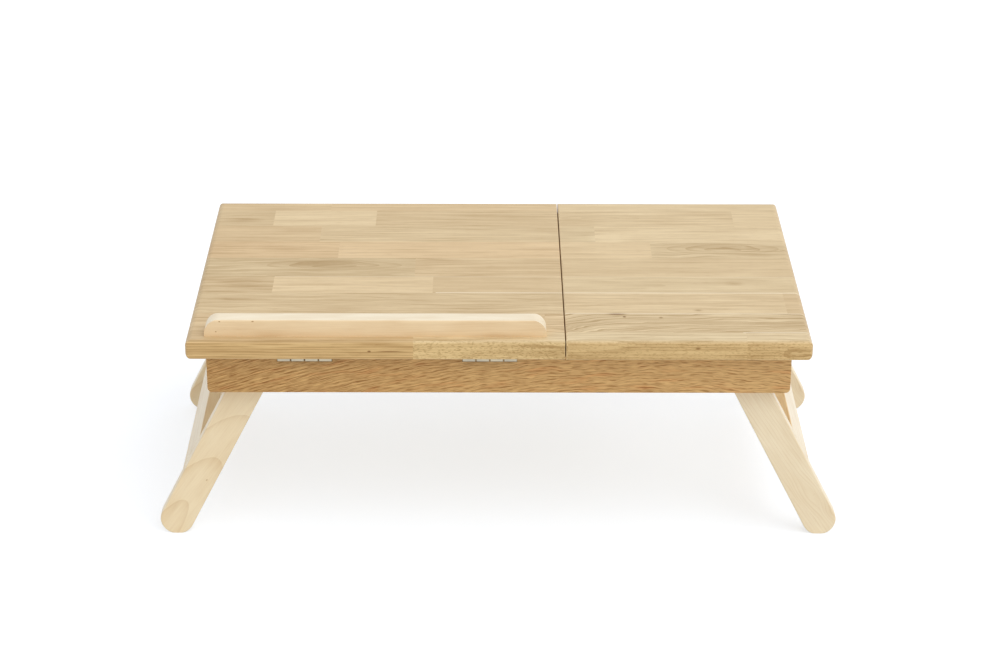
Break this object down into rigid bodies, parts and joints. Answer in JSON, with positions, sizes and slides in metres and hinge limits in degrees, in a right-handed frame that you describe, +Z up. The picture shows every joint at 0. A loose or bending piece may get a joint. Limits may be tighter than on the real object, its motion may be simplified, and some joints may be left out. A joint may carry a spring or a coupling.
{
  "type": "folding laptop table",
  "caption": "Low folding table of oak and maple: a tilting board with a stop ledge on a notched prop, a fixed board over a side drawer, and leg frames that fold inward.",
  "frame": {"origin": "on the floor, under the middle of the table top", "axes": "+X to the user's right, +Y away from the user, +Z up"},
  "size_m": [0.6454, 0.34, 0.2325],
  "materials": {
    "oak_top": "clear satin oil",
    "oak_rail": "clear satin oil",
    "maple": "clear satin lacquer",
    "birch": "sanded, clear lacquer",
    "birch_plywood": "sanded",
    "beech_dowel": "sanded",
    "hinge_steel": "nickel plated",
    "zinc_steel": "zinc plated",
    "brass": "plain"
  },
  "bodies": {
    "frame": {"front_rail": "oak_rail", "rear_rail": "oak_rail", "left_side_rail": "oak_rail", "right_cross_rail": "oak_rail", "front_guide_rail": "birch", "rear_guide_rail": "birch", "centre_divider": "birch", "base_panel": "birch_plywood", "fixed_board": "oak_top", "frame_dowels": "beech_dowel", "panel_screws": "zinc_steel", "board_screws": "zinc_steel", "pivot_bolts": "zinc_steel", "thread_inserts": "brass", "pivot_washers": "zinc_steel", "hinge_lower_leaves": "hinge_steel", "hinge_pins": "hinge_steel", "hinge_lower_screws": "zinc_steel", "left_rack": "maple", "right_rack": "maple"},
    "left_legs": {"left_front_leg": "maple", "left_rear_leg": "maple", "left_stretcher": "maple", "left_stretcher_dowels": "beech_dowel"},
    "right_legs": {"right_front_leg": "maple", "right_rear_leg": "maple", "right_stretcher": "maple", "right_stretcher_dowels": "beech_dowel"},
    "tilt_panel": {"tilt_board": "oak_top", "stop_ledge": "maple", "ledge_dowels": "beech_dowel", "hinge_upper_leaves": "hinge_steel", "hinge_upper_screws": "zinc_steel", "left_prop_bracket": "maple", "right_prop_bracket": "maple", "bracket_screws": "zinc_steel", "prop_pins": "zinc_steel"},
    "prop": {"left_prop_arm": "maple", "right_prop_arm": "maple", "prop_crossbar": "beech_dowel", "prop_foot_bar": "beech_dowel"},
    "drawer": {"drawer_front": "oak_rail", "drawer_near_side": "birch", "drawer_far_side": "birch", "drawer_back": "birch", "drawer_bottom": "birch_plywood", "drawer_dowels": "beech_dowel", "drawer_knob": "maple", "knob_screw": "zinc_steel"}
  },
  "joints": [
    {"name": "left_leg_fold", "type": "hinge", "parent": "frame", "child": "left_legs", "pos_m": [-0.22607, 0, 0.173], "axis": [0, -1, 0], "range_deg": [0, 117]},
    {"name": "right_leg_fold", "type": "hinge", "parent": "frame", "child": "right_legs", "pos_m": [0.22607, 0, 0.173], "axis": [0, 1, 0], "range_deg": [0, 117]},
    {"name": "board_tilt", "type": "hinge", "parent": "frame", "child": "tilt_panel", "pos_m": [-0.1135, -0.1642, 0.19615], "axis": [1, 0, 0], "range_deg": [0, 35]},
    {"name": "prop_swing", "type": "hinge", "parent": "tilt_panel", "child": "prop", "pos_m": [-0.1135, -0.0442, 0.1908], "axis": [-1, 0, 0], "range_deg": [0, 65.25]},
    {"name": "drawer_slide", "type": "slide", "parent": "frame", "child": "drawer", "axis": [1, 0, 0], "range_m": [0, 0.15]}
  ],
  "couplings": [
    {"joint": "prop_swing", "follows": "board_tilt", "ratio": 1.864}
  ]
}
